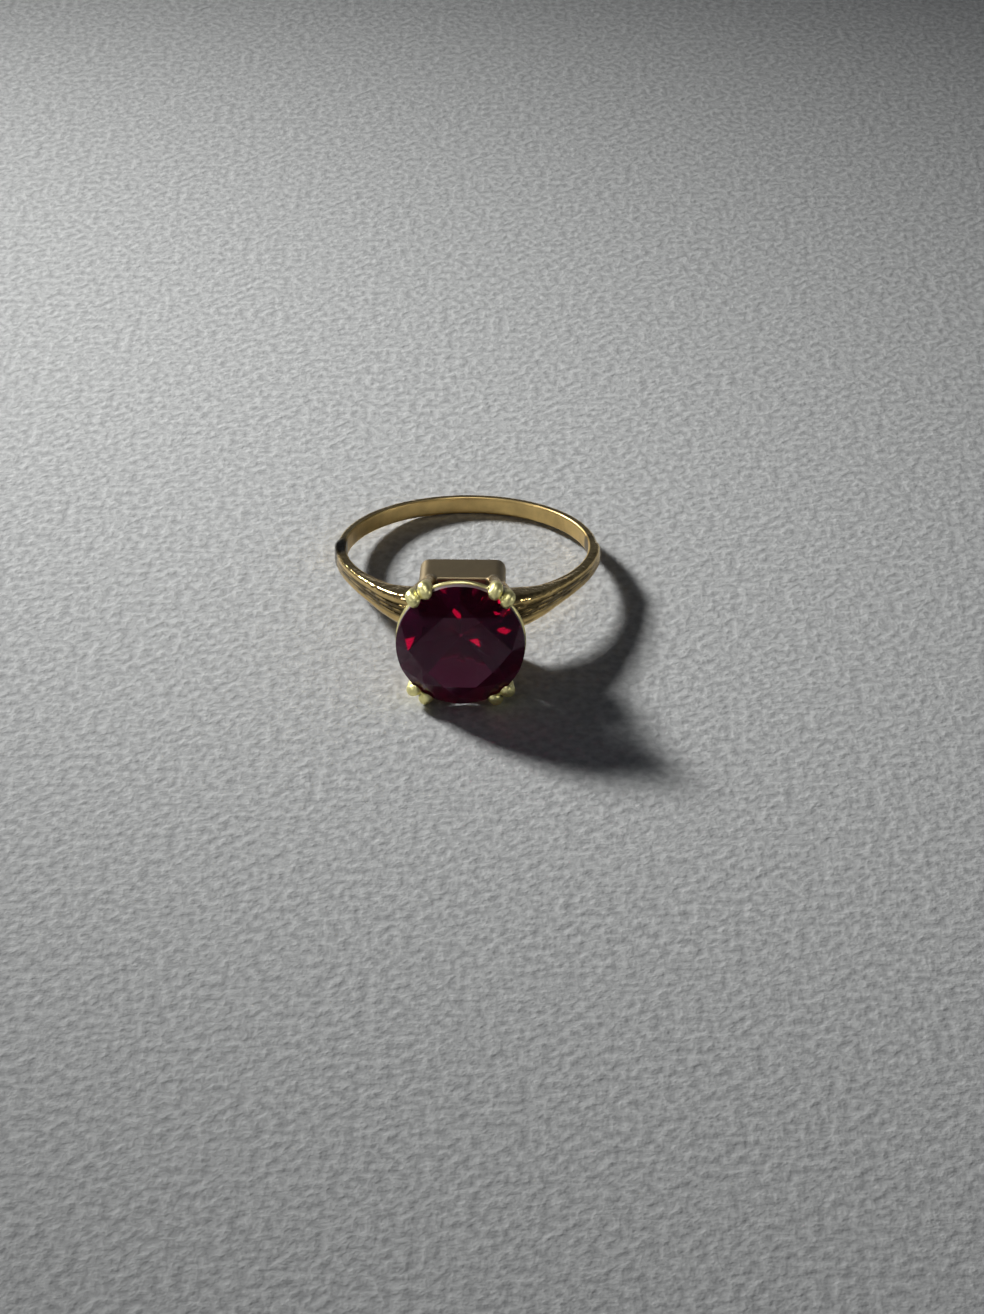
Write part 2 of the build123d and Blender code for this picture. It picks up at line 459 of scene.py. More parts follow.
@dataclass
class Hoop:
    """The band, whose shoulders swell into fluted straps towards the head.

    Lengths are in millimetres and angles in degrees.
    """

    finger_radius: float
    thickness: float = 0.62
    width: float = 1.2
    outer_round: float = 0.25
    inner_ease: float = 0.1
    shoulder_rise: float = 1.8
    shoulder_tall: float = 2.4
    ledge_out: float = 0.4
    ledge_half: float = 0.12
    ledge_end: float = 0.65
    edge_setback: float = 0.3
    groove_setback: float = 0.06
    strand_bulge: float = 0.22
    strap_gap_angle: float = 0.1
    strap_least: float = 0.05

    ROWS = (
        StrapRow(angle=14.0, rise=1.00, tall=1.00),
        StrapRow(angle=22.0, rise=0.90, tall=0.93),
        StrapRow(angle=31.0, rise=0.64, tall=0.78),
        StrapRow(angle=42.0, rise=0.30, tall=0.64),
        StrapRow(angle=55.0, rise=0.10, tall=0.54),
        StrapRow(angle=75.0, rise=0.04, tall=0.48),
        StrapRow(angle=94.0, rise=0.06, tall=0.46),
        StrapRow(angle=98.0, rise=0.00, tall=0.34),
    )
    # Edges of the strands as shares of the strap's half height
    STRANDS = (-1.0, -0.42, -0.14, 0.14, 0.42, 1.0)
    # A depth that keeps the strap out of sight beyond its edges
    SUNK = -99.0
    WIDE_POINTS = 14
    RIB_POINTS = 8
    LOW_FLANK_POINTS = 7
    HIGH_FLANK_POINTS = 4
    PLAIN_FLANK_POINTS = 9
    EASE_POINTS = 5
    FINGER_POINTS = 11
    HEAD_SECTIONS = 8
    STRAP_SECTIONS = 150
    BACK_SECTIONS = 86
    SOFTENING = 2

    @property
    def outer(self) -> float:
        """Radius of the plain band's outer face."""
        return self.finger_radius + self.thickness

    @property
    def band_half(self) -> float:
        """Half the plain band's width."""
        return self.width / 2

    def swell(self, angle: float) -> tuple[float, float]:
        """Rise and height of the strap at an angle, as a smooth curve through its rows.

        Args:
            angle: degrees from the stone's direction.

        Returns:
            The shares of the full rise and of the full height, both zero off the strap.
        """
        rows = np.array(self.ROWS)
        if not rows[0, 0] <= angle <= rows[-1, 0]:
            return 0.0, 0.0
        slopes = np.gradient(rows[:, 1:], rows[:, 0], axis=0)
        place = min(int(np.searchsorted(rows[:, 0], angle, "right")) - 1, len(rows) - 2)
        step = rows[place + 1, 0] - rows[place, 0]
        t = (angle - rows[place, 0]) / step
        ends = (2 * t**3 - 3 * t**2 + 1, t**3 - 2 * t**2 + t, 3 * t**2 - 2 * t**3, t**3 - t**2)
        row = (
            ends[0] * rows[place, 1:] + ends[1] * step * slopes[place]
            + ends[2] * rows[place + 1, 1:] + ends[3] * step * slopes[place + 1]
        )
        return float(row[0]), float(row[1])

    def flutes(self) -> np.ndarray:
        """The strap's outer edge: an arc over each strand, with a groove between them.

        Returns:
            Rows of depth and height, as shares of the strap's half height.
        """
        corners = [
            (-(self.edge_setback if abs(share) == 1 else self.groove_setback), share)
            for share in self.STRANDS
        ]
        points = []
        for low, high in zip(corners, corners[1:]):
            chord = Vector((high[0] - low[0], high[1] - low[1]))
            count = self.WIDE_POINTS if 1 in (abs(low[1]), abs(high[1])) else self.RIB_POINTS
            half = chord.length / 2
            rise = self.strand_bulge * chord.length
            arc = (half**2 + rise**2) / (2 * rise)
            sweep = asin(half / arc)
            middle = Vector((low[0] + high[0], low[1] + high[1])) / 2
            along = chord.normalized()
            out = Vector((along.y, -along.x))
            for turn in np.linspace(-sweep, sweep, count, endpoint=False):
                spot = middle + along * (arc * sin(turn)) + out * (arc * cos(turn) - arc + rise)
                points.append((spot.x, spot.y))
        points.append(corners[-1])
        return np.array(points)

    def band_face(self, heights: np.ndarray) -> np.ndarray:
        """The plain band's outer face with its round edges.

        Args:
            heights: where it is wanted, across the band.

        Returns:
            Its radius at each height, and zero beyond the band.
        """
        corner = np.clip(np.abs(heights) - (self.band_half - self.outer_round), 0, self.outer_round)
        face = self.outer - self.outer_round + np.sqrt(self.outer_round**2 - corner**2)
        return np.where(np.abs(heights) <= self.band_half + NO_LENGTH, face, 0.0)

    def flank(self, edge: float, wide: float) -> np.ndarray:
        """The side face, which steps out from the band to the strap at a ledge.

        Args:
            edge: radius of its outer edge.
            wide: half the height at that edge.

        Returns:
            Rows of radius and height, from the outer edge inwards.
        """
        start, ledge = self.finger_radius + self.inner_ease, self.finger_radius + self.ledge_end
        if edge > ledge + self.strap_least:
            radii = np.append(
                np.linspace(start, ledge, self.LOW_FLANK_POINTS),
                np.linspace(ledge, edge, self.HIGH_FLANK_POINTS)[1:-1],
            )
        else:
            radii = np.linspace(start, edge, self.PLAIN_FLANK_POINTS)
        beyond = radii - self.finger_radius - self.ledge_out + self.ledge_half
        ramp = np.clip(beyond / (2 * self.ledge_half), 0, 1)
        heights = self.band_half + (wide - self.band_half) * ramp * ramp * (3 - 2 * ramp)
        return np.column_stack([radii, heights])[::-1]

    def finger_face(self) -> np.ndarray:
        """The face next to the finger, with eased edges.

        Returns:
            Rows of radius and height, from the upper edge to the lower one.
        """
        turn = np.linspace(0, pi / 2, self.EASE_POINTS)[1:]
        ease = np.column_stack([
            self.finger_radius + self.inner_ease * (1 - np.sin(turn)),
            self.band_half - self.inner_ease * (1 - np.cos(turn)),
        ])
        inner_half = self.band_half - self.inner_ease
        heights = np.linspace(1, -1, self.FINGER_POINTS)[1:-1] * inner_half
        flat = np.column_stack([np.full(len(heights), self.finger_radius), heights])
        return np.concatenate([ease, flat, ease[::-1] * (1, -1)])

    def section(self, angle: float, flutes: np.ndarray) -> np.ndarray:
        """Closed outline of the hoop at an angle.

        Args:
            angle: degrees from the stone's direction.
            flutes: the points of flutes().

        Returns:
            Rows of radius and height, once round the outline.
        """
        rise, tall = self.swell(angle)
        half = tall * self.shoulder_tall / 2
        wide = max(half, self.band_half)
        heights = flutes[:, 1] * wide
        radii = self.band_face(heights)
        if half > 0:
            depth = np.interp(heights / half, flutes[:, 1], flutes[:, 0], self.SUNK, self.SUNK)
            strap = self.outer + rise * self.shoulder_rise + half * depth
            radii = np.maximum(radii, strap)
        side = self.flank(radii[-1], wide)
        rows = np.concatenate([
            np.column_stack([radii, heights]), side, self.finger_face(), side[::-1] * (1, -1),
        ])
        for _ in range(self.SOFTENING):
            rows = (np.roll(rows, 1, 0) + 2 * rows + np.roll(rows, -1, 0)) / 4
        return rows

    def angles(self) -> np.ndarray:
        """Places of the sections from the stone's direction round to the back.

        Returns:
            Degrees from the stone's direction.
        """
        first, last = self.ROWS[0].angle, self.ROWS[-1].angle
        return np.concatenate([
            np.linspace(0, first - self.strap_gap_angle, self.HEAD_SECTIONS),
            np.linspace(first, last, self.STRAP_SECTIONS),
            np.linspace(last + self.strap_gap_angle, 180, self.BACK_SECTIONS),
        ])

    def build(self) -> bpy.types.Object:
        """Sweep the outline once round the finger.

        Returns:
            The hoop as one closed tube, in millimetres in the ring's frame.
        """
        half_turn = self.angles()
        flutes = self.flutes()
        loops = []
        for angle in np.concatenate([half_turn, -half_turn[-2:0:-1]]):
            radii, heights = self.section(abs(angle), flutes).T
            around = radians(angle)
            loops.append(np.column_stack([radii * sin(around), -radii * cos(around), heights]))
        return new_object("hoop", swept("hoop", loops))


@dataclass(frozen=True)
class RibShadeAndGlints:
    """Painted shade on the straps' thin ribs, left off their crests in spots as painted highlights.

    Heights are shares of the strap's half height, and lengths along it are in degrees.
    """

    beyond: float = 0.06
    fade: float = 0.1
    lift: float = 0.04
    depth_mm: float = 0.1
    head_fade: float = 3.0
    tail_gap: float = 12.0
    tail_fade: float = 20.0
    # Where each rib's painted highlight lies: a little above the middle, where light from above
    # falls
    crest_place: float = 0.6
    crest_width: float = 0.2
    glint_above: float = 0.35
    glint_slope: float = 4.0
    glint_share: float = 0.9
    step: float = 3.5
    last: float = 100.0
    seed: int = 11

    RIBS = 3

    # Painted highlights: spots on the crests that are left without painted shade
    def rubbed(self, rib: np.ndarray, turn: np.ndarray) -> np.ndarray:
        """How much painted highlight each rib's crest gets along its length.

        Args:
            rib: which rib each point is on, counted from the lowest, with its share across.
            turn: each point's angle from the stone's direction in degrees.

        Returns:
            A share for each point, largest on the ribs' crests.
        """
        crest = np.exp(-(((rib % 1) - self.crest_place) / self.crest_width) ** 2)
        knots = np.arange(0, self.last, self.step)
        wear = np.random.default_rng(self.seed).random((self.RIBS, len(knots)))
        lengths = [np.interp(turn, knots, row) for row in wear]
        number = np.clip(np.floor(rib), 0, self.RIBS - 1).astype(int)
        bright = (np.choose(number, lengths) - self.glint_above) * self.glint_slope
        return self.glint_share * crest * np.clip(bright, 0, 1)

    def mark(self, hoop: Hoop, mesh: bpy.types.Mesh, name: str) -> None:
        """Write how much painted shade the ribs get at each point.

        Args:
            hoop: the hoop whose ribs they are.
            mesh: the mesh, in millimetres in the ring's frame.
            name: the attribute's name.
        """
        x, y, height = point_rows(mesh, "co").T
        turn = np.degrees(np.arctan2(np.abs(x), -y))
        angles, _, tall = np.array(hoop.ROWS).T
        share = height / (np.interp(turn, angles, tall) * hoop.shoulder_tall / 2)
        _, low, first_groove, _, high, _ = hoop.STRANDS
        across = np.clip((high + self.beyond - np.abs(share - self.lift)) / self.fade, 0, 1)
        head = np.clip((turn - angles[0]) / self.head_fade, 0, 1)
        tail = np.clip((angles[-1] - self.tail_gap - turn) / self.tail_fade, 0, 1)
        outside = np.clip((np.hypot(x, y) - hoop.outer + self.depth_mm) / self.depth_mm, 0, 1)
        rib = (share - low) / (first_groove - low)
        write_points(mesh, name, across * head * tail * outside * (1 - self.rubbed(rib, turn)))


@dataclass
class Stone:
    """The ruby, a round brilliant.

    Lengths are in millimetres and angles in degrees.
    """

    radius: float
    girdle_out: float
    girdle_thick: float = 0.45
    crown_height: float = 1.0
    table_share: float = 0.64
    star_length: float = 0.5
    pavilion_angle: float = 41.0
    lower_half_length: float = 0.77
    culet_radius: float = 0.1
    weld: float = 1e-4
    seat_weld: float = 1e-3

    MAINS = 8
    GIRDLE_SIDES = 160
    ON_PLANE = 1e-5

    def half_slope(self, main_slope: float, meet: float) -> float:
        """Slope of a half facet that meets its mains at a share of the radius."""
        return main_slope * (1 - meet * cos(pi / self.MAINS)) / (1 - meet)

    @property
    def table_corner(self) -> float:
        """Radius of the table's corners."""
        return self.table_share * self.radius

    @property
    def table_flat(self) -> float:
        """Distance of the table's sides from its middle."""
        return self.table_corner * cos(pi / self.MAINS)

    @property
    def crown_slope(self) -> float:
        """Slope of the crown's main facets."""
        return self.crown_height / (self.radius - self.table_corner)

    @property
    def crown_meet(self) -> float:
        """Share of the radius at which the stars' points lie."""
        return 1 - self.star_length * (1 - self.table_flat / self.radius)

    @property
    def upper_slope(self) -> float:
        """Slope of the upper halves along the line between two mains."""
        return self.half_slope(self.crown_slope, self.crown_meet)

    @property
    def star_slope(self) -> float:
        """Slope of the stars, from the table's sides down to where the upper halves meet."""
        drop = self.crown_height - self.upper_slope * self.radius * (1 - self.crown_meet)
        return drop / (self.crown_meet * self.radius - self.table_flat)

    @property
    def pavilion_slope(self) -> float:
        """Slope of the pavilion's main facets."""
        return tan(radians(self.pavilion_angle))

    @property
    def lower_slope(self) -> float:
        """Slope of the lower halves along the line between two mains."""
        return self.half_slope(self.pavilion_slope, 1 - self.lower_half_length)

    @property
    def in_ring(self) -> Matrix:
        """Matrix from the stone's own frame, whose axis is Z, to the ring's frame."""
        return Matrix(((1, 0, 0, 0), (0, 0, -1, -self.girdle_out), (0, 1, 0, 0), (0, 0, 0, 1)))

    def facets(self) -> list[FacetRow]:
        """List the facets in the order in which they are cut.

        Returns:
            A row for each ring of equal facets.
        """
        main, half = pi / self.MAINS, pi / (2 * self.MAINS)
        belt = self.radius * cos(half)
        culet = (self.radius - self.culet_radius) * self.pavilion_slope
        crown, pavilion = StoneSide.CROWN, StoneSide.PAVILION
        return [
            FacetRow(crown, self.MAINS, main, self.crown_slope, self.radius, 0.0),
            FacetRow(crown, 2 * self.MAINS, half, self.upper_slope / cos(half), belt, 0.0),
            FacetRow(crown, self.MAINS, 0.0, self.star_slope, self.table_flat, self.crown_height),
            FacetRow(crown, 1, 0.0, 0.0, 0.0, self.crown_height),
            FacetRow(pavilion, self.MAINS, main, self.pavilion_slope, self.radius, 0.0),
            FacetRow(pavilion, 2 * self.MAINS, half, self.lower_slope / cos(half), belt, 0.0),
            FacetRow(pavilion, 1, 0.0, 0.0, 0.0, culet),
        ]

    def cut(self, work: bmesh.types.BMesh, row: FacetRow, around: float) -> None:
        """Grind one facet flat.

        Args:
            work: the stone.
            row: the facet's row.
            around: where it lies round the stone, in radians.
        """
        sign, lean = row.side.value, atan(row.slope)
        height = sign * (self.girdle_thick / 2 + row.height)
        spot = Vector((row.radius * cos(around), row.radius * sin(around), height))
        normal = Vector((sin(lean) * cos(around), sin(lean) * sin(around), sign * cos(lean)))
        cut = bmesh.ops.bisect_plane(
            work, geom=work.verts[:] + work.edges[:] + work.faces[:], dist=self.ON_PLANE,
            plane_co=spot, plane_no=normal, clear_outer=True,
        )["geom_cut"]
        rim = [part for part in cut if isinstance(part, bmesh.types.BMEdge)]
        if rim:
            bmesh.ops.contextual_create(work, geom=rim)

    def finished(self, work: bmesh.types.BMesh, name: str, weld: float) -> bpy.types.Object:
        """Close a turned or cut shape and place it in the ring's frame.

        Args:
            work: the shape, in the stone's own frame.
            name: the object's name.
            weld: the distance at which points are one.

        Returns:
            The object.
        """
        bmesh.ops.remove_doubles(work, verts=work.verts, dist=weld)
        work.transform(self.in_ring)
        bmesh.ops.recalc_face_normals(work, faces=work.faces)
        return object_from(name, work)

    def build(self) -> bpy.types.Object:
        """Cut the stone from a round blank, facet by facet.

        Returns:
            The stone, in millimetres in the ring's frame.
        """
        work = bmesh.new()
        bmesh.ops.create_cone(
            work, cap_ends=True, segments=self.GIRDLE_SIDES,
            radius1=self.radius, radius2=self.radius, depth=4 * self.radius,
        )
        for row in self.facets():
            for facet in range(row.count):
                self.cut(work, row, row.first + facet * 2 * pi / row.count)
        return self.finished(work, "stone", self.weld)

    def seat(self, clearance: float) -> bpy.types.Object:
        """The round outline that the stone's seat is cut with.

        Args:
            clearance: gap between the stone and its seat.

        Returns:
            A closed turned shape.
        """
        edge = self.radius + clearance
        half = self.girdle_thick / 2 + clearance
        outline = (
            (0.0, -half - edge * self.lower_slope),
            (edge, -half),
            (edge, half),
            (0.0, half + edge * self.upper_slope),
        )
        work = bmesh.new()
        corners = [work.verts.new((radius, 0, height)) for radius, height in outline]
        edges = [work.edges.new(pair) for pair in zip(corners, corners[1:])]
        bmesh.ops.spin(
            work, geom=corners + edges, axis=(0, 0, 1), cent=(0, 0, 0),
            steps=self.GIRDLE_SIDES, angle=2 * pi,
        )
        return self.finished(work, "seat", self.seat_weld)


@dataclass
class Head:
    """The square box behind the stone, its wire rail and the four claws of two prongs each.

    Lengths are in millimetres and angles in degrees.
    """

    stone: Stone
    back: float
    wide: float = 5.4
    tall: float = 6.4
    depth: float = 3.1
    wall: float = 0.7
    corner: float = 0.6
    inner_corner: float = 0.12
    rear_round: float = 0.3
    claw_angle: float = 53.0
    prong_spread: float = 6.3
    prong_radius: float = 0.42
    prong_stand: float = 0.4
    prong_reach: float = 0.2
    prong_hook: float = 0.3
    prong_root: float = 2.3
    root_spread: float = 4.0
    rail_radius: float = 0.22
    rail_inset: float = 0.15
    rail_setback: float = 0.6
    bend_radius: float = 0.25
    voxel: float = 0.073
    softening: int = 4
    softness: float = 0.5

    CORNER_POINTS = 9
    REAR_POINTS = 7
    RAIL_POINTS = 144
    RAIL_SIDES = 20
    PRONG_SIDES = 24
    BEAD_RINGS = 16
    BEND_POINTS = 8

    def rounded_square(self, shrink: float, corner: float, out: float) -> np.ndarray:
        """Points round the box's outline.

        Args:
            shrink: how much narrower and lower than the box it is.
            corner: the corners' radius.
            out: its distance from the hoop's axis.

        Returns:
            Rows of x, y and z.
        """
        half_wide = (self.wide - shrink) / 2 - corner
        half_tall = (self.tall - shrink) / 2 - corner
        points = []
        for place, (x, z) in enumerate(((1, 1), (-1, 1), (-1, -1), (1, -1))):
            for turn in np.linspace(0, pi / 2, self.CORNER_POINTS) + place * pi / 2:
                points.append((
                    x * half_wide + corner * cos(turn), -out, z * half_tall + corner * sin(turn),
                ))
        return np.array(points)

    def box(self) -> bpy.types.Mesh:
        """The open box: its wall's outline swept round the rectangle.

        Returns:
            Its closed mesh, in millimetres in the ring's frame.
        """
        loops = []
        for turn in np.linspace(0, pi / 2, self.REAR_POINTS):
            inset = self.rear_round * (1 - sin(turn))
            out = self.back + self.rear_round * (1 - cos(turn))
            loops.append(self.rounded_square(2 * inset, self.corner - inset, out))
        front = self.back + self.depth
        loops.append(self.rounded_square(0.0, self.corner, front))
        loops.append(self.rounded_square(2 * self.wall, self.inner_corner, front))
        loops.append(self.rounded_square(2 * self.wall, self.inner_corner, self.back))
        return swept("box", loops)

    def rail(self) -> bpy.types.Mesh:
        """The round wire rail that joins the prongs behind the stone's edge.

        Returns:
            Its closed mesh, in millimetres in the ring's frame.
        """
        turn = np.linspace(0, 2 * pi, self.RAIL_SIDES, endpoint=False)
        radius = self.stone.radius - self.rail_inset + self.rail_radius * np.cos(turn)
        out = self.stone.girdle_out - self.rail_setback + self.rail_radius * np.sin(turn)
        return swept("rail", [
            np.column_stack([radius * cos(around), -out, radius * sin(around)])
            for around in np.linspace(0, 2 * pi, self.RAIL_POINTS, endpoint=False)
        ])

    def prong_lines(self) -> bpy.types.Mesh:
        """The middle lines of the eight prongs, from the box's corners over the stone's edge.

        Returns:
            A mesh of loose edges.
        """
        root_wide = self.wide / 2 - self.prong_radius
        root_tall = self.tall / 2 - self.prong_radius
        root_angle = degrees(atan2(root_tall, root_wide))
        root_radius = min(
            root_wide / cos(radians(root_angle - self.root_spread)),
            root_tall / sin(radians(root_angle + self.root_spread)),
        )
        girdle, knee = self.stone.girdle_out, self.stone.radius + self.prong_stand
        tip, hook = girdle + self.prong_reach, knee - self.prong_hook
        rows = (
            (self.back + self.prong_root, root_radius, root_angle, self.root_spread),
            (girdle, knee, self.claw_angle, self.prong_spread),
            (tip, hook, self.claw_angle, self.prong_spread),
        )
        points, edges = [], []
        for wide, tall, lean in product((1, -1), repeat=3):
            for place, (out, radius, angle, spread) in enumerate(rows):
                around = radians(angle + lean * spread)
                if place:
                    edges.append((len(points) - 1, len(points)))
                points.append((wide * radius * cos(around), -out, tall * radius * sin(around)))
        return mesh_from("prongs", np.array(points), [], edges)

    def prong_tree(self) -> bpy.types.GeometryNodeTree:
        """Geometry nodes that turn each line into a round prong with rounded ends.

        Returns:
            The node group.
        """
        tree = bpy.data.node_groups.new("Prongs on lines", "GeometryNodeTree")
        sockets = (
            ("Geometry", "OUTPUT", "NodeSocketGeometry"),
            ("Geometry", "INPUT", "NodeSocketGeometry"),
            ("Prong Radius", "INPUT", "NodeSocketFloat"),
            ("Bend Radius", "INPUT", "NodeSocketFloat"),
            ("Sides", "INPUT", "NodeSocketInt"),
            ("Metal", "INPUT", "NodeSocketMaterial"),
        )
        for name, way, kind in sockets:
            tree.interface.new_socket(name, in_out=way, socket_type=kind)
        given = add_node(tree, "NodeGroupInput").outputs
        lines = add_node(tree, "GeometryNodeMeshToCurve", {"Mesh": given["Geometry"]})
        bent = add_node(tree, "GeometryNodeFilletCurve", {
            "Curve": lines.outputs[0], "Count": self.BEND_POINTS,
            "Radius": given["Bend Radius"], "Limit Radius": True,
        }, mode="POLY")
        profile = add_node(tree, "GeometryNodeCurvePrimitiveCircle", {
            "Resolution": given["Sides"], "Radius": given["Prong Radius"],
        })
        tubes = add_node(tree, "GeometryNodeCurveToMesh", {
            "Curve": bent.outputs[0], "Profile Curve": profile.outputs["Curve"],
            "Fill Caps": True,
        })
        ends = add_node(tree, "GeometryNodeCurveEndpointSelection", {
            "Start Size": 1, "End Size": 1,
        })
        bead = add_node(tree, "GeometryNodeMeshUVSphere", {
            "Segments": given["Sides"], "Rings": self.BEAD_RINGS, "Radius": given["Prong Radius"],
        })
        beads = add_node(tree, "GeometryNodeInstanceOnPoints", {
            "Points": bent.outputs[0], "Selection": ends.outputs[0],
            "Instance": bead.outputs["Mesh"],
        })
        both = add_node(tree, "GeometryNodeJoinGeometry", {"Geometry": tubes.outputs[0]})
        tree.links.new(beads.outputs[0], both.inputs[0])
        real = add_node(tree, "GeometryNodeRealizeInstances", {"Geometry": both.outputs[0]})
        dressed = add_node(tree, "GeometryNodeSetMaterial", {
            "Geometry": real.outputs[0], "Material": given["Metal"],
        })
        add_node(tree, "NodeGroupOutput", {"Geometry": dressed.outputs[0]})
        return tree

    def prongs(self, metal: bpy.types.Material) -> bpy.types.Mesh:
        """Sweep the prongs along their lines.

        Args:
            metal: the material that they get.

        Returns:
            Their mesh, in millimetres in the ring's frame.
        """
        lines = new_object("prong_lines", self.prong_lines())
        modifier = lines.modifiers.new("Prongs", "NODES")
        modifier.node_group = self.prong_tree()
        values = {
            "Prong Radius": self.prong_radius,
            "Bend Radius": self.bend_radius,
            "Sides": self.PRONG_SIDES,
            "Metal": metal,
        }
        for socket in modifier.node_group.interface.items_tree:
            if socket.in_out == "INPUT" and socket.name in values:
                modifier[socket.identifier] = values[socket.name]
        mesh = applied(lines).data
        bpy.data.objects.remove(lines)
        return mesh

    def build(self, metal: bpy.types.Material) -> bpy.types.Object:
        """Fuse the box, the rail and the prongs and soften their edges, as casting does.

        Args:
            metal: the material of the prongs.

        Returns:
            The head, in millimetres in the ring's frame.
        """
        work = bmesh.new()
        for piece in (self.box(), self.rail(), self.prongs(metal)):
            work.from_mesh(piece)
        head = object_from("head", work)
        remesh = head.modifiers.new("Cast", "REMESH")
        remesh.mode = "VOXEL"
        remesh.voxel_size = self.voxel
        soft = head.modifiers.new("Polish", "SMOOTH")
        soft.factor = self.softness
        soft.iterations = self.softening
        return applied(head)


@dataclass(frozen=True)
class GoldZones:
    """Where a point of the gold lies in the ring's frame, and in which zones it is."""

    place: Socket
    flat: Socket
    radius: Socket
    height: Socket
    inside: Socket
    claws: Socket
    box: Socket


@dataclass(frozen=True)
class GoldFinish:
    """14 carat yellow gold, cast and polished by hand: a warm mirror with fine rubbed lines."""

    colour: str = "#e6c784"
    worn_colour: str = "#c4a76e"
    # Paler colour painted on the claws as a painted sheen
    claw_sheen_colour: str = "#f6eeaa"
    box_colour: str = "#8b7e66"
    # Dark colour of the patina and painted shade in the hollows, of the ribs' painted shade and of
    # the dark patches
    tarnish_and_shade: str = "#2c2416"
    roughness: float = 0.11
    worn_roughness: float = 0.24
    inside_roughness: float = 0.36
    claw_roughness: float = 0.42
    box_roughness: float = 0.45
    box_dullness: float = 0.9
    # Share of painted shade on the ribs
    rib_darkness: float = 0.85
    # Hollowness at which the patina and painted shade are strongest
    deepest_hollow: float = 0.13
    line_mm: float = 0.09
    line_depth_mm: float = 0.012
    line_turns: float = 6.0
    line_strength: float = 0.3
    inside_line_strength: float = 0.7
    dent_mm: float = 0.45
    dent_depth_mm: float = 0.06
    dent_strength: float = 1.0
    inside_dent_strength: float = 0.15
    box_dent_strength: float = 0.3
    blotch_mm: float = 1.6
    inside_radius_mm: float = 8.12
    claws_from_mm: float = 12.8
    claws_to_mm: float = 14.0
    box_half_mm: float = 2.72
    box_middle_mm: float = 9.8
    box_reach_mm: float = 1.62

    HOLLOW = "hollow"
    # Attribute that holds the ribs' painted shade
    RIB_SHADE = "rib_painted_shade"
    # Blotch noise between which the polish wears off
    WORN = (0.4, 0.7)
    # Two darker patches, at the ends of the straps on either side
    DARK_PATCHES = (
        DarkPatch(place=(-8.9, -0.5, 0.3), reach=1.9, strength=0.95),
        DarkPatch(place=(8.0, 1.3, -0.1), reach=1.0, strength=0.8),
    )

    def zones(self, tree: Tree, ring: RingFrame) -> GoldZones:
        """Find out where a point lies: inside the hoop, on the claws or on the box.

        Args:
            tree: the node tree.
            ring: the ring's frame.

        Returns:
            The outputs that say so, in metres or as shares.
        """
        place = add_node(tree, "ShaderNodeMapping", {
            "Vector": add_node(tree, "ShaderNodeTexCoord").outputs["Object"],
            "Location": ring.centre,
            "Rotation": ring.turned.to_euler(),
        }, vector_type="TEXTURE").outputs[0]
        x, y, z = add_node(tree, "ShaderNodeSeparateXYZ", {0: place}).outputs
        flat = add_node(tree, "ShaderNodeCombineXYZ", {"X": x, "Y": y}).outputs[0]
        radius = add_node(tree, "ShaderNodeVectorMath", {0: flat}, operation="LENGTH")
        radius = radius.outputs["Value"]
        within = maths(tree, "COMPARE", x, 0.0, self.box_half_mm * MM)
        behind = maths(tree, "COMPARE", y, -self.box_middle_mm * MM, self.box_reach_mm * MM)
        return GoldZones(
            place=place,
            flat=flat,
            radius=radius,
            height=z,
            inside=maths(tree, "LESS_THAN", radius, self.inside_radius_mm * MM),
            claws=remap(tree, y, given=(-self.claws_from_mm * MM, -self.claws_to_mm * MM)),
            box=maths(tree, "MULTIPLY", within, behind),
        )

    def lines(self, tree: Tree, zones: GoldZones) -> Socket:
        """Fine lines that the polishing leaves along the hoop.

        Args:
            tree: the node tree.
            zones: where the point lies.

        Returns:
            The output that holds their height.
        """
        heading = add_node(tree, "ShaderNodeVectorMath", {0: zones.flat}, operation="NORMALIZE")
        x, y, _ = add_node(tree, "ShaderNodeSeparateXYZ", {0: heading.outputs[0]}).outputs
        fine = 1 / (self.line_mm * MM)
        place = add_node(tree, "ShaderNodeCombineXYZ", {
            "X": maths(tree, "MULTIPLY", zones.radius, fine),
            "Y": maths(tree, "MULTIPLY", zones.height, fine),
            "Z": maths(tree, "MULTIPLY", x, self.line_turns),
        })
        return add_node(tree, "ShaderNodeTexNoise", {
            "Vector": place.outputs[0],
            "W": maths(tree, "MULTIPLY", y, self.line_turns),
            "Scale": 1.0, "Detail": 3.0, "Roughness": 0.6,
        }, noise_dimensions="4D").outputs[0]

    def darkness(self, tree: Tree, zones: GoldZones) -> Socket:
        """Patina and painted shade in the hollows, painted shade on the thin ribs, and two dark
        patches.

        Args:
            tree: the node tree.
            zones: where the point lies.

        Returns:
            The output that holds its share.
        """
        hollow = add_node(tree, "ShaderNodeAttribute", attribute_name=self.HOLLOW)
        # The ribs' painted shade, with painted highlights on their crests
        ribs = add_node(tree, "ShaderNodeAttribute", attribute_name=self.RIB_SHADE)
        dark = maths(
            tree, "MAXIMUM",
            remap(tree, hollow.outputs["Fac"], given=(0.0, self.deepest_hollow)),
            maths(tree, "MULTIPLY", ribs.outputs["Fac"], self.rib_darkness),
        )
        for patch in self.DARK_PATCHES:
            middle = [length * MM for length in patch.place]
            away = add_node(
                tree, "ShaderNodeVectorMath", {0: zones.place, 1: middle}, operation="DISTANCE"
            )
            near = remap(
                tree, away.outputs["Value"], given=(patch.reach / 2 * MM, patch.reach * MM),
                wanted=(patch.strength, 0.0), curve="SMOOTHSTEP",
            )
            dark = maths(tree, "MAXIMUM", dark, near)
        return dark

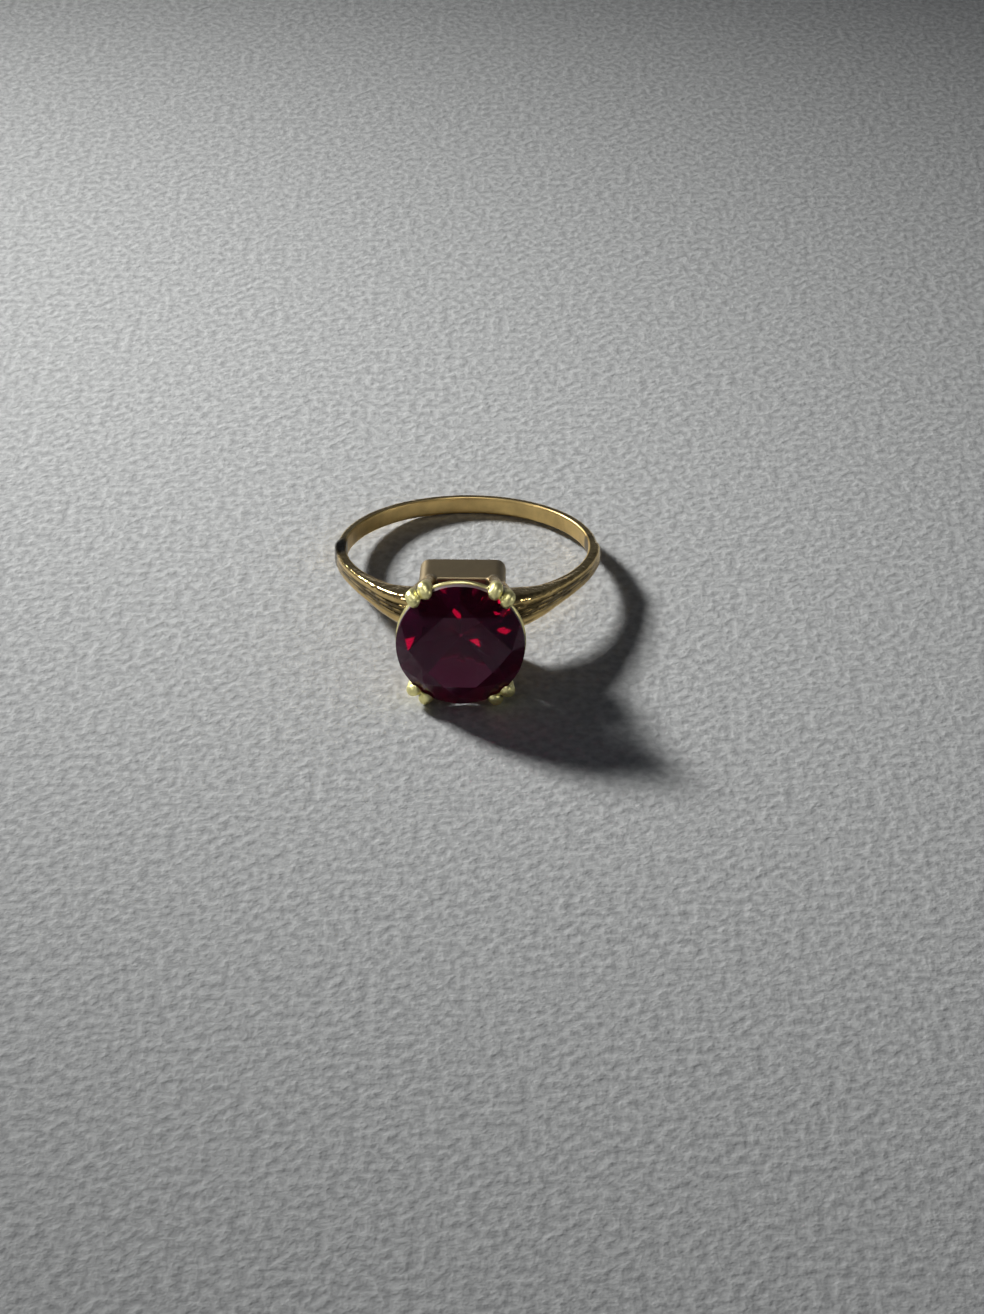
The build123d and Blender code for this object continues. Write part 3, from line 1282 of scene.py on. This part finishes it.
    def tone(self, tree: Tree, zones: GoldZones, wear: Socket) -> Socket:
        """Colour of the metal, with painted shade and a painted sheen on the claws.

        Args:
            tree: the node tree.
            zones: where the point lies.
            wear: the share of worn polish.

        Returns:
            The output that holds the colour.
        """
        bright = blend(tree, wear, linear(self.colour), linear(self.worn_colour))
        # The claws are painted paler: a painted sheen
        clawed = blend(tree, zones.claws, bright, linear(self.claw_sheen_colour))
        dull = maths(tree, "MULTIPLY", zones.box, self.box_dullness)
        boxed = blend(tree, dull, clawed, linear(self.box_colour))
        # Darkened by the patina and painted shade
        return blend(tree, self.darkness(tree, zones), boxed, linear(self.tarnish_and_shade))

    def polish(self, tree: Tree, zones: GoldZones, wear: Socket) -> Socket:
        """Roughness of the metal.

        Args:
            tree: the node tree.
            zones: where the point lies.
            wear: the share of worn polish.

        Returns:
            The output that holds the roughness.
        """
        rough = remap(tree, wear, wanted=(self.roughness, self.worn_roughness))
        rough = remap(tree, zones.inside, wanted=(rough, self.inside_roughness))
        rough = remap(tree, zones.claws, wanted=(rough, self.claw_roughness))
        return remap(tree, zones.box, wanted=(rough, self.box_roughness))

    def relief(self, tree: Tree, zones: GoldZones) -> Socket:
        """Soft dents of casting under the fine polishing lines.

        Args:
            tree: the node tree.
            zones: where the point lies.

        Returns:
            The output that holds the normal.
        """
        dented = remap(tree, zones.inside, wanted=(self.dent_strength, self.inside_dent_strength))
        dented = remap(tree, zones.box, wanted=(dented, self.box_dent_strength))
        lined = remap(tree, zones.inside, wanted=(self.line_strength, self.inside_line_strength))
        uneven = add_node(tree, "ShaderNodeBump", {
            "Height": noise(tree, zones.place, self.dent_mm, detail=2.0, roughness=0.5),
            "Strength": dented,
            "Distance": self.dent_depth_mm * MM,
        })
        return add_node(tree, "ShaderNodeBump", {
            "Height": self.lines(tree, zones),
            "Strength": lined,
            "Distance": self.line_depth_mm * MM,
            "Normal": uneven.outputs[0],
        }).outputs[0]

    def material(self, ring: RingFrame) -> bpy.types.Material:
        """Make the gold.

        Args:
            ring: the ring's frame, which the polishing lines follow.

        Returns:
            The material.
        """
        gold = new_material("polished yellow gold")
        tree = gold.node_tree
        zones = self.zones(tree, ring)
        blotches = noise(tree, zones.place, self.blotch_mm, detail=4.0, roughness=0.55)
        wear = remap(tree, blotches, given=self.WORN)
        shader = add_node(tree, "ShaderNodeBsdfPrincipled", {
            "Base Color": self.tone(tree, zones, wear),
            "Metallic": 1.0,
            "Roughness": self.polish(tree, zones, wear),
            "Normal": self.relief(tree, zones),
        })
        add_node(tree, "ShaderNodeOutputMaterial", {"Surface": shader.outputs[0]})
        return gold


@dataclass(frozen=True)
class RubyFinish:
    """Ruby, cut and polished: clear, deeply absorbing corundum with a ground girdle."""

    colour: str = "#b02870"
    depth_colour: str = "#d01888"
    absorption: float = 460.0
    ior: float = 1.77
    reflection_tint: str = "#b0a0b4"
    clearness: float = 0.89
    roughness: float = 0.02
    girdle_colour: str = "#6b5558"
    girdle_roughness: float = 0.6

    def polished(self) -> bpy.types.Material:
        """Make the polished facets' material.

        Returns:
            The material.
        """
        ruby = new_material("polished ruby")
        shader = add_node(ruby.node_tree, "ShaderNodeBsdfPrincipled", {
            "Base Color": linear(self.colour),
            "Roughness": self.roughness,
            "IOR": self.ior,
            "Specular Tint": linear(self.reflection_tint),
            "Transmission Weight": self.clearness,
        })
        depth = add_node(ruby.node_tree, "ShaderNodeVolumeAbsorption", {
            "Color": linear(self.depth_colour),
            "Density": self.absorption,
        })
        add_node(ruby.node_tree, "ShaderNodeOutputMaterial", {
            "Surface": shader.outputs[0],
            "Volume": depth.outputs[0],
        })
        return ruby

    def ground(self) -> bpy.types.Material:
        """Make the ground girdle's material, frosted and pale.

        Returns:
            The material.
        """
        girdle = new_material("ground ruby girdle")
        shader = add_node(girdle.node_tree, "ShaderNodeBsdfPrincipled", {
            "Base Color": linear(self.girdle_colour),
            "Roughness": self.girdle_roughness,
            "IOR": self.ior,
        })
        add_node(girdle.node_tree, "ShaderNodeOutputMaterial", {"Surface": shader.outputs[0]})
        return girdle


@dataclass(frozen=True)
class FloorFinish:
    """Pale matt surface with a fine grain under the ring."""

    pale_colour: str = "#d2d3d1"
    dark_colour: str = "#b2b3b2"
    roughness: float = 0.85
    grain_mm: float = 0.6
    relief_mm: float = 0.15
    relief_strength: float = 0.9

    # The pale and dark grain tones also stand in for painted shading of the grain's bumps
    # Grain noise between which the colour runs from dark to pale
    SHADES = (0.35, 0.65)

    def material(self) -> bpy.types.Material:
        """Make the floor's material.

        Returns:
            The material.
        """
        floor = new_material("pale grained board")
        tree = floor.node_tree
        place = add_node(tree, "ShaderNodeTexCoord").outputs["Object"]
        grain = noise(tree, place, self.grain_mm, detail=2.0, roughness=0.5)
        shade = remap(tree, grain, given=self.SHADES)
        bump = add_node(tree, "ShaderNodeBump", {
            "Height": grain, "Strength": self.relief_strength, "Distance": self.relief_mm * MM,
        })
        shader = add_node(tree, "ShaderNodeBsdfPrincipled", {
            "Base Color": blend(tree, shade, linear(self.dark_colour), linear(self.pale_colour)),
            "Roughness": self.roughness,
            "Normal": bump.outputs[0],
        })
        add_node(tree, "ShaderNodeOutputMaterial", {"Surface": shader.outputs[0]})
        return floor


@dataclass
class Ring:
    """The whole ring: the fused gold mount and the stone."""

    frame: RingFrame
    hoop: Hoop
    head: Head
    stone: Stone
    girdle_rise: float = 5.62
    head_sink: float = 0.2
    seat_clearance: float = 0.05
    least_edge: float = 0.001
    crease: float = 38.0
    hollow_softening: int = 3
    girdle_lean: float = 0.01

    @classmethod
    def from_packed(cls, record: dict) -> "Ring":
        """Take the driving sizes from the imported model.

        Args:
            record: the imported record.

        Returns:
            The ring, not yet built.
        """
        hole = finger_hole(record)
        low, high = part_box(RUBY_NODE)
        radius = round((high.x - low.x) / 2 / MM, 3)
        hoop = Hoop(finger_radius=hole["dims"]["r_mm"])
        stone = Stone(radius=radius, girdle_out=hoop.outer + cls.girdle_rise)
        head = Head(stone=stone, back=hoop.finger_radius + cls.head_sink)
        return cls(RingFrame.from_record(record), hoop, head, stone)

    def place(self, piece: bpy.types.Object, name: str, node: str, slot: str) -> None:
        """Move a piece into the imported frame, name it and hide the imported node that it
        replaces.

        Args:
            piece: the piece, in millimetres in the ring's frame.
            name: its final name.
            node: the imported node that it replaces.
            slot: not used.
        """
        piece.name = piece.data.name = name
        piece.data.transform(self.frame.placed)
        piece.data.update()
        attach(piece, "root")
        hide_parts(node)
        piece.data.calc_loop_triangles()
        log.info("%s: %d triangles", name, len(piece.data.loop_triangles))

    def build_mount(self) -> bpy.types.Object:
        """Fuse the hoop and the head, cut the stone's seat and dress them in gold.

        Returns:
            The gold mount.
        """
        gold = GoldFinish().material(self.frame)
        mount = combine(self.hoop.build(), self.head.build(gold), Join.FUSE)
        combine(mount, self.stone.seat(self.seat_clearance), Join.CUT)
        clear_slivers(mount.data, self.least_edge)
        mount.data.materials.clear()
        mount.data.materials.append(gold)
        mount.data.shade_smooth()
        # Painted shade on the ribs, left off their crests as painted highlights
        RibShadeAndGlints().mark(self.hoop, mount.data, GoldFinish.RIB_SHADE)
        self.place(mount, "gold_mount_polished", GOLD_NODE, "gold")
        mount.data.set_sharp_from_angle(angle=radians(self.crease))
        # How hollow each point is, for the patina and painted shade in the hollows
        mark_hollows(mount.data, GoldFinish.HOLLOW, self.hollow_softening)
        return mount

    def build_ruby(self) -> bpy.types.Object:
        """Cut the stone, and dress its facets as polished and its girdle as ground.

        Returns:
            The ruby.
        """
        ruby = self.stone.build()
        finish = RubyFinish()
        ruby.data.materials.append(finish.polished())
        ruby.data.materials.append(finish.ground())
        for face in ruby.data.polygons:
            face.material_index = int(abs(face.normal.y) < self.girdle_lean)
        self.place(ruby, "ruby_faceted", RUBY_NODE, "ruby")
        return ruby


@dataclass(frozen=True)
class Lamp:
    """A square lamp or a lit card that looks at the ring.

    The azimuth is 0 at the camera's side and 90 at the right, and it, the elevation and
    the spread are in degrees. The side and the distance are in metres, the power in watts.
    A card shows only as a glint in the gold and the stone.
    """

    name: str
    azimuth: float
    elevation: float
    side: float
    power: float
    far: float = 0.3
    spread: float = 180.0
    card: bool = False

    def hang(self, centre: Vector) -> bpy.types.Object:
        """Hang the lamp.

        Args:
            centre: the place that it looks at.

        Returns:
            The lamp.
        """
        data = bpy.data.lights.new(self.name, "AREA")
        data.shape = "SQUARE"
        data.size = self.side
        data.energy = self.power
        data.spread = radians(self.spread)
        lamp = new_object(self.name, data)
        around, up = radians(self.azimuth), radians(self.elevation)
        back = Vector((sin(around) * cos(up), -cos(around) * cos(up), sin(up)))
        lamp.location = centre + back * self.far
        lamp.rotation_mode = "QUATERNION"
        lamp.rotation_quaternion = back.to_track_quat("Z", "Y")
        lamp.visible_diffuse = not self.card
        return lamp


@dataclass(frozen=True)
class Room:
    """The dim room round the ring: palest near the horizon and dark overhead.

    Its light fades between two heights, given as sines of the elevation.
    """

    colour: str = "#d5dcec"
    low_strength: float = 0.14
    high_strength: float = 0.03
    low: float = 0.15
    high: float = 0.6

    def build(self) -> bpy.types.World:
        """Make the room.

        Returns:
            The world that holds it.
        """
        world = bpy.data.worlds.new("dim room")
        world.use_nodes = True
        tree = world.node_tree
        tree.nodes.clear()
        place = add_node(tree, "ShaderNodeTexCoord")
        _, _, up = add_node(tree, "ShaderNodeSeparateXYZ", {0: place.outputs["Generated"]}).outputs
        sky = add_node(tree, "ShaderNodeBackground", {
            "Color": linear(self.colour),
            "Strength": remap(
                tree, up, given=(self.low, self.high),
                wanted=(self.low_strength, self.high_strength),
            ),
        })
        add_node(tree, "ShaderNodeOutputWorld", {"Surface": sky.outputs[0]})
        return world


@dataclass
class Studio:
    """Floor, light and camera, set as the photograph shows the ring.

    The hoop's centre is at hoop_px in the picture. The camera looks down on the hoop's
    plane by rise and is turned round its axis by turn, both in degrees.
    """

    ring: RingFrame
    floor_side: float = 1.2
    focal_px: float = 3000.0
    frame_px: tuple[int, int] = (984, 1314)
    hoop_px: tuple[float, float] = (467.4, 552.2)
    distance_mm: float = 198.4
    rise: float = 25.6
    turn: float = 1.3
    sensor_mm: float = 36.0
    clip: tuple[float, float] = (0.01, 10.0)

    LAMPS = (
        Lamp("window", -127, 31, side=0.05, power=0.09, spread=50),
        Lamp("left card", -66, 18, side=0.032, power=0.07, card=True),
        Lamp("right card", 75, 18, side=0.032, power=0.07, card=True),
        Lamp("low front card", -20, 9, side=0.032, power=0.03, card=True),
        Lamp("left front card", -38, 34, side=0.032, power=0.03, card=True),
        Lamp("right front card", 10, 40, side=0.032, power=0.03, card=True),
        Lamp("overhead card", -6, 80, side=0.09, power=0.22, card=True),
    )

    def camera(self) -> bpy.types.Object:
        """Place the camera at the photograph's angle and distance.

        Returns:
            The camera.
        """
        data = bpy.data.cameras.new("camera")
        data.sensor_width = self.sensor_mm
        data.sensor_fit = "AUTO"
        data.lens = self.focal_px / max(self.frame_px) * self.sensor_mm
        data.clip_start, data.clip_end = self.clip
        camera = new_object("camera", data)
        far = self.distance_mm * MM
        side = (self.hoop_px[0] - self.frame_px[0] / 2) / self.focal_px * far
        above = -(self.hoop_px[1] - self.frame_px[1] / 2) / self.focal_px * far
        camera.matrix_world = (
            self.ring.turned
            @ Matrix.Rotation(radians(self.turn), 4, "Z")
            @ Matrix.Rotation(radians(90 - self.rise), 4, "X")
            @ Matrix.Translation((-side, -above, far))
        )
        bpy.context.scene.camera = camera
        return camera

    def floor(self) -> bpy.types.Object:
        """Lay the floor at the height that the ring rests on.

        Returns:
            The floor.
        """
        half = self.floor_side / 2
        corners = half * np.array([(-1, -1, 0), (1, -1, 0), (1, 1, 0), (-1, 1, 0)])
        floor = new_object("floor", mesh_from("floor", corners, [(0, 1, 2, 3)]))
        floor.data.materials.append(FloorFinish().material())
        return floor

    def build(self) -> None:
        """Set up the whole studio."""
        self.floor()
        self.camera()
        for lamp in self.LAMPS:
            lamp.hang(self.ring.centre)
        bpy.context.scene.world = Room().build()
        bpy.context.scene.view_settings.view_transform = "Standard"


def main() -> None:
    """Build the ring and the studio."""
    logging.basicConfig(level=logging.INFO, format="%(name)s: %(message)s", stream=sys.stdout)
    ring = Ring.from_packed(frame["record"])
    for piece in (ring.build_mount(), ring.build_ruby()):
        log.info("built %s", piece.name)
    Studio(ring.frame).build()
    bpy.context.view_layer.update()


if __name__ == "__main__":
    main()
